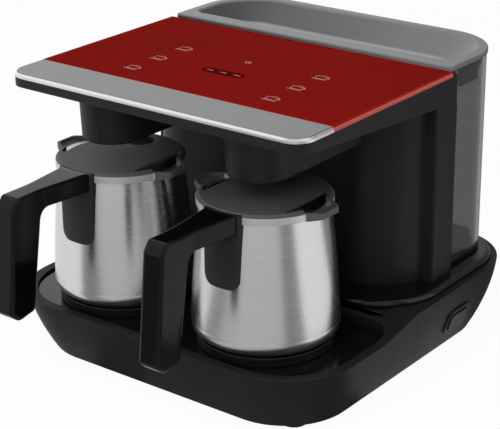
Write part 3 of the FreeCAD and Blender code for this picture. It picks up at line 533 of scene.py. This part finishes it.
def height_ramp(tree, axes, zero_at, one_at):
    """Goes from 0 at one height to 1 at another, and stays level beyond them."""
    ramp = add(tree, "MapRange", {"Value": axes.outputs["Z"], "From Min": zero_at,
                                  "From Max": one_at})
    return ramp.outputs["Result"]


def below(tree, axes, level):
    """1 below the level and 0 above it, with a very short fade."""
    fade = 0.0001
    return height_ramp(tree, axes, level + fade, level - fade)


def find(tree, kind):
    """The tree's first node of that type."""
    return next(node for node in tree.nodes if node.type == kind)


def repaint(tree, mask, colour):
    """Lays a second colour over the first one where the mask is 1."""
    shader = find(tree, "BSDF_PRINCIPLED")
    first = shader.inputs["Base Color"].links[0].from_socket
    join(tree, mix(tree, mask, first, (*colour, 1)), shader.inputs["Base Color"])
    return shader


# Painted highlight: the strip's front bevel is painted near white.
bevel_depth = 0.0004
strip_tree = finishes["silver_strip"].node_tree
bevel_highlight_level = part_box("front_strip")[1].z - bevel_depth
repaint(strip_tree, below(strip_tree, piece_axes(strip_tree), bevel_highlight_level), (0.90, 0.90, 0.90))

# Painted highlight: the glass below its top is painted pale pink.
edge_highlight_depth = 0.0007
glass_tree = finishes["touch_glass"].node_tree
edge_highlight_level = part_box("touch_glass")[1].z - edge_highlight_depth
repaint(glass_tree, below(glass_tree, piece_axes(glass_tree), edge_highlight_level), (0.60, 0.11, 0.10))
print("bevel below", round(bevel_highlight_level, 4), "glass edge highlight below", round(edge_highlight_level, 4))

# %% [markdown]
# The collar's ring sits in the rolled rim of a pot, and the steel reaches up to the slanted
# edge of its cover. So the ring takes the look of the steel below that edge, within a
# circle about the pot's own axis, and the lips outside the circle stay plastic. The two
# pots stand mirrored, so the distance is measured with X made positive.

# %% Rolled rim
ring_reach = 0.0480
slant_height = 0.0022
collar_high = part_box("pot_collar_right")[1]
body_low, body_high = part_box("pot_body_right")
pot_middle = (body_low + body_high) / 2
rim_level = collar_high.z - slant_height

rim_tree = finishes["collar_plastic"].node_tree
rim_axes = piece_axes(rim_tree)
mirrored = maths(rim_tree, "ABSOLUTE", rim_axes.outputs["X"])
from_axis = add(rim_tree, "CombineXYZ",
                {"X": maths(rim_tree, "SUBTRACT", mirrored, pot_middle.x),
                 "Y": maths(rim_tree, "SUBTRACT", rim_axes.outputs["Y"], pot_middle.y)})
reach = add(rim_tree, "VectorMath", {0: from_axis.outputs[0]}, operation="LENGTH")
on_ring = maths(rim_tree, "LESS_THAN", reach.outputs["Value"], ring_reach)
on_rim = maths(rim_tree, "MULTIPLY", below(rim_tree, rim_axes, rim_level), on_ring)
rim_shader = repaint(rim_tree, on_rim, (0.78, 0.78, 0.785))
join(rim_tree, on_rim, rim_shader.inputs["Metallic"])
print("rolled rim below", round(rim_level, 4), "about", [round(c, 4) for c in pot_middle.xy])

# %% [markdown]
# The water tank is smoked clear plastic. Its walls have their real thickness, so it is truly
# see-through, and a very faint film keeps its reflections from being perfect.

# %% Smoked tank
tank_clear, tree, shader = plain_material("smoked_clear")
shader.inputs["Base Color"].default_value = (0.27, 0.27, 0.275, 1)
shader.inputs["Transmission Weight"].default_value = 1.0
shader.inputs["IOR"].default_value = 1.45
place = add(tree, "TexCoord")
swirl = add(tree, "TexNoise", {"Vector": place.outputs["Object"], "Scale": 10.0, "Detail": 1.0})
film = add(tree, "MapRange", {"Value": swirl.outputs["Fac"], "To Min": 0.0, "To Max": 0.012})
join(tree, film.outputs["Result"], shader.inputs["Roughness"])
finishes["smoked_clear"] = tank_clear
print("tank material nodes:", len(tree.nodes))

# %% [markdown]
# The lid is the same plastic, but thicker and frosted, so it reads as solid grey. A truly
# cloudy plastic would be slow to render, so its light and shade are painted by height:
# painted shade on the slopes of the sunk dish, darker towards the left, a paler painted
# light on the flat floor, which faces up, and a middle grey on the rim.

# %% Frosted lid with painted shade
dish_depth = 0.0143
floor_fade = (0.0020, 0.0006)
rim_fade = (0.0016, 0.0008)
lid_half = 0.11
lid_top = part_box("tank_lid")[1].z
dish_floor = lid_top - dish_depth
# Painted shade for the slopes, from left to right, and painted light for the floor.
slope_shade_left = (0.060, 0.060, 0.062, 1)
slope_shade_right = (0.16, 0.16, 0.165, 1)
floor_painted_light = (0.30, 0.30, 0.305, 1)
rim_grey = (0.155, 0.158, 0.16, 1)

lid_painted_shade_finish = moulded("frosted_lid_painted_shade", (0.20, 0.20, 0.205), 0.32, grain=0.05, clouds=0.05,
                     edge=0.30, edge_radius=0.0008, Specular_IOR_Level=0.3)
tree = lid_painted_shade_finish.node_tree
axes = piece_axes(tree)
across = add(tree, "MapRange", {"Value": axes.outputs["X"], "From Min": -lid_half,
                                "From Max": lid_half})
on_floor = height_ramp(tree, axes, dish_floor + floor_fade[0], dish_floor + floor_fade[1])
on_top = height_ramp(tree, axes, lid_top - rim_fade[0], lid_top - rim_fade[1])
painted_slope_shade = mix(tree, across.outputs["Result"], slope_shade_left, slope_shade_right)
dish = mix(tree, on_floor, painted_slope_shade, floor_painted_light)
join(tree, mix(tree, on_top, dish, rim_grey), find(tree, "GROUP").inputs["Colour"])
finishes["lid_plastic"] = lid_painted_shade_finish
print("lid's dish floor at", round(dish_floor, 4))

# %% [markdown]
# Each piece of the model names the finish it takes, so one loop dresses the whole machine.
# The handles and their saddles look a little different from the other pieces that name the
# same finish, so they are dressed in their own.

# %% Dress the pieces
for part in frame["record"]["subparts"]:
    mesh = frame["nodes"][part["node"]].data
    mesh.materials.clear()
    family = part["node"].removesuffix("_left").removesuffix("_right")
    mesh.materials.append(own_finish.get(family, finishes[part["material_slot"]]))

# %% [markdown]
# The touch panel carries pale printed marks: a cup on each of six touch places, three
# dashes in a dark window, and one small ring. A picture laid on the glass would blur from
# close by, so each mark is a film a few hundredths of a millimetre thick. A ribbon helper
# draws one line of print as a closed strip: at every point it sets four corners square to
# the line, and it joins each four to the next. The marks are plain, with no lettering.

# %% Ribbon of print
print_height = 0.00005
line_width = 0.0008


def ribbon(shape, points, width, closed=False):
    """Adds a flat strip of print along points (x, y) to a bmesh, with square ends."""
    count = len(points)
    spots = [Vector((x, y, 0)) for x, y in points]
    lift = Vector((0, 0, print_height))
    rings = []
    for i, here in enumerate(spots):
        before = spots[i - 1] if closed or i > 0 else here
        after = spots[(i + 1) % count] if closed or i < count - 1 else here
        along = (after - before).normalized()
        side = Vector((-along.y, along.x, 0)) * (width / 2)
        corners = (here - side, here + side, here + side + lift, here - side + lift)
        rings.append([shape.verts.new(corner) for corner in corners])
    for i in range(count if closed else count - 1):
        a, b = rings[i], rings[(i + 1) % count]
        for k in range(4):
            shape.faces.new((a[k], b[k], b[(k + 1) % 4], a[(k + 1) % 4]))
    if not closed:
        shape.faces.new(rings[0])
        shape.faces.new(list(reversed(rings[-1])))


print("print is", print_height, "high and", line_width, "wide")

# %% [markdown]
# Round marks need points along a circle, and every finished mark needs faces that all point
# outwards. Both are wanted more than once, so each is a small helper.


# %% Arcs and finished meshes
def arc_points(x, y, radius, start, sweep, steps=14):
    """Points along part of a circle, angles in degrees."""
    turns = [math.radians(start + sweep * i / steps) for i in range(steps + 1)]
    return [(x + radius * math.cos(t), y + radius * math.sin(t)) for t in turns]


def mesh_object(name, shape, material):
    """Turns a bmesh into an object with outward faces."""
    bmesh.ops.recalc_face_normals(shape, faces=shape.faces)
    mesh = bpy.data.meshes.new(name)
    shape.to_mesh(mesh)
    shape.free()
    mesh.materials.append(material)
    made = bpy.data.objects.new(name, mesh)
    scene.collection.objects.link(made)
    return made


print("points in half a circle:", len(arc_points(0, 0, 1, 0, 180)))

# %% [markdown]
# A cup is a few such lines: the bowl is a closed outline, the ear is half a circle, the
# saucer is a straight line, and two short bent lines are steam.

# %% One cup
pale_print = moulded("pale_print", (0.48, 0.22, 0.20), 0.45, grain=0.0, edge=0.0,
                     Specular_IOR_Level=0.1)
cup_wide = 0.0098
cup_tall = 0.0058
brim_x = cup_wide / 2
heel_x = cup_wide * 0.42
heel_y = 0.0008
foot_x = cup_wide * 0.25
ear_y = cup_tall * 0.55
ear_radius = 0.0013
saucer_x = cup_wide * 0.6
saucer_y = -0.0011
steam_x = 0.0011
steam_bend = 0.0003
steam_y = (0.0009, 0.0016, 0.0024)
steam_width = line_width * 0.8

cup = bmesh.new()
ribbon(cup, [(-brim_x, cup_tall), (-heel_x, heel_y), (-foot_x, 0),
             (foot_x, 0), (heel_x, heel_y), (brim_x, cup_tall)], line_width, closed=True)
ribbon(cup, arc_points(brim_x, ear_y, ear_radius, -90, 180), line_width)
ribbon(cup, [(-saucer_x, saucer_y), (saucer_x, saucer_y)], line_width)
for step in (-1, 1):
    ribbon(cup, [(step * steam_x, cup_tall + steam_y[0]),
                 (step * steam_x + steam_bend, cup_tall + steam_y[1]),
                 (step * steam_x, cup_tall + steam_y[2])], steam_width)
cup_mark = mesh_object("cup_mark", cup, pale_print)
print("cup mark faces:", len(cup_mark.data.polygons))

# %% [markdown]
# The cup repeats in two columns of three. It could be copied in a loop, but this is a job
# for Geometry Nodes: a grid gives the six places, the cup is put on each point, and the
# copies are made real at the end so that the result is one ordinary mesh.


# %% Repeat on a grid
def repeat_tree(name, source, material):
    """Geometry Nodes that put one object on a grid of points, with named sizes."""
    tree, start, end = new_group(
        name,
        [("Columns", "Int", 2), ("Rows", "Int", 3), ("Width", "Float", 0.1),
         ("Depth", "Float", 0.1), ("Middle", "Vector", (0, 0, 0))],
        [("Geometry", "Geometry")], kind="GeometryNodeTree")
    given = start.outputs
    grid = add(tree, "MeshGrid", {"Vertices X": given["Columns"], "Vertices Y": given["Rows"],
                                  "Size X": given["Width"], "Size Y": given["Depth"]})
    shift = add(tree, "Transform", {"Geometry": grid.outputs["Mesh"],
                                    "Translation": given["Middle"]})
    model = add(tree, "ObjectInfo", {"Object": source})
    copy = add(tree, "InstanceOnPoints", {"Points": shift.outputs["Geometry"],
                                          "Instance": model.outputs["Geometry"]})
    real = add(tree, "RealizeInstances", {"Geometry": copy.outputs["Instances"]})
    paint = add(tree, "SetMaterial", {"Geometry": real.outputs["Geometry"],
                                      "Material": material})
    join(tree, paint.outputs["Geometry"], end.inputs["Geometry"])
    return tree


cup_grid = repeat_tree("cup_grid", cup_mark, pale_print)
print("grid tree nodes:", len(cup_grid.nodes))

# %% [markdown]
# A tree needs an object to run on, so an empty mesh carries it for a moment. Its sizes are
# given by name, and the result then takes the place of the empty mesh. The six places lie
# beside the window, and the print is let into the glass by part of its own height.


# %% Cups on the glass
def grow(name, tree, **values):
    """Runs a Geometry Nodes tree with its named sizes and keeps the result as a mesh."""
    seed = bpy.data.objects.new(name, bpy.data.meshes.new(name + "_seed"))
    scene.collection.objects.link(seed)
    modifier = seed.modifiers.new("grow", "NODES")
    modifier.node_group = tree
    for item in tree.interface.items_tree:
        if item.in_out == "INPUT" and item.name in values:
            modifier[item.identifier] = values[item.name]
    ready = seed.evaluated_get(bpy.context.evaluated_depsgraph_get())
    mesh = bpy.data.meshes.new_from_object(ready)
    seed.modifiers.clear()
    seed.data = mesh
    mesh.name = name
    return seed


column_x = 0.062
back_row_y = 0.0165
front_row_y = -0.0415
sunk_share = 0.4
glass_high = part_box("touch_glass")[1]
print_z = glass_high.z - print_height * sunk_share
cups = grow("touch_cups", cup_grid, Columns=2, Rows=3, Width=2 * column_x,
            Depth=back_row_y - front_row_y,
            Middle=(0, (back_row_y + front_row_y) / 2, print_z))
bpy.data.objects.remove(cup_mark)
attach(cups, "root")
print("cups:", len(cups.data.polygons), "faces")

# %% [markdown]
# The window is a low oval of darker red. A stretched disc would be an ellipse, with no
# straight sides, so the window is drawn as two half circles with straight lines between
# them, and closed all round.

# %% Display window
window_red = moulded("window_red", (0.070, 0.003, 0.002), 0.30, grain=0.0, edge=0.0,
                     Specular_IOR_Level=0.0)
window_x = -0.0015
window_y = -0.0115
window_half = 0.0185
window_round = 0.0052
window_low = print_z - print_height
window_top = print_z + print_height * 0.7
window = bmesh.new()
outline = (arc_points(window_half - window_round, window_y, window_round, -90, 180) +
           arc_points(-window_half + window_round, window_y, window_round, 90, 180))
low_ring = [window.verts.new((x + window_x, y, window_low)) for x, y in outline]
top_ring = [window.verts.new((x + window_x, y, window_top)) for x, y in outline]
window.faces.new(top_ring)
window.faces.new(list(reversed(low_ring)))
for i in range(len(outline)):
    j = (i + 1) % len(outline)
    window.faces.new((low_ring[i], low_ring[j], top_ring[j], top_ring[i]))
window_piece = mesh_object("display_window", window, window_red)
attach(window_piece, "root")
print("window faces:", len(window_piece.data.polygons))

# %% [markdown]
# Three dashes lie on the window, and the small ring with its tick lies further back. They
# are single strips of the same print as the cups, and one mesh holds them all, because they
# share a finish and move together.

# %% Dashes and ring
dash_half = 0.0028
dash_width = 0.0009
ring_x = -0.002
ring_y = 0.0185
ring_radius = 0.0021
tick_y = 0.0212
dash_z = print_z + print_height * 0.3
dashes = bmesh.new()
for x in (-0.013, -0.001, 0.011):
    ribbon(dashes, [(x - dash_half, window_y), (x + dash_half, window_y)], dash_width)
ribbon(dashes, arc_points(ring_x, ring_y, ring_radius, 120, 300), line_width)
ribbon(dashes, [(ring_x, ring_y), (ring_x, tick_y)], line_width)
bmesh.ops.translate(dashes, verts=dashes.verts, vec=(0, 0, dash_z))
dash_piece = mesh_object("touch_dashes", dashes, pale_print)
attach(dash_piece, "root")
print("marks on the glass:", [cups.name, window_piece.name, dash_piece.name])
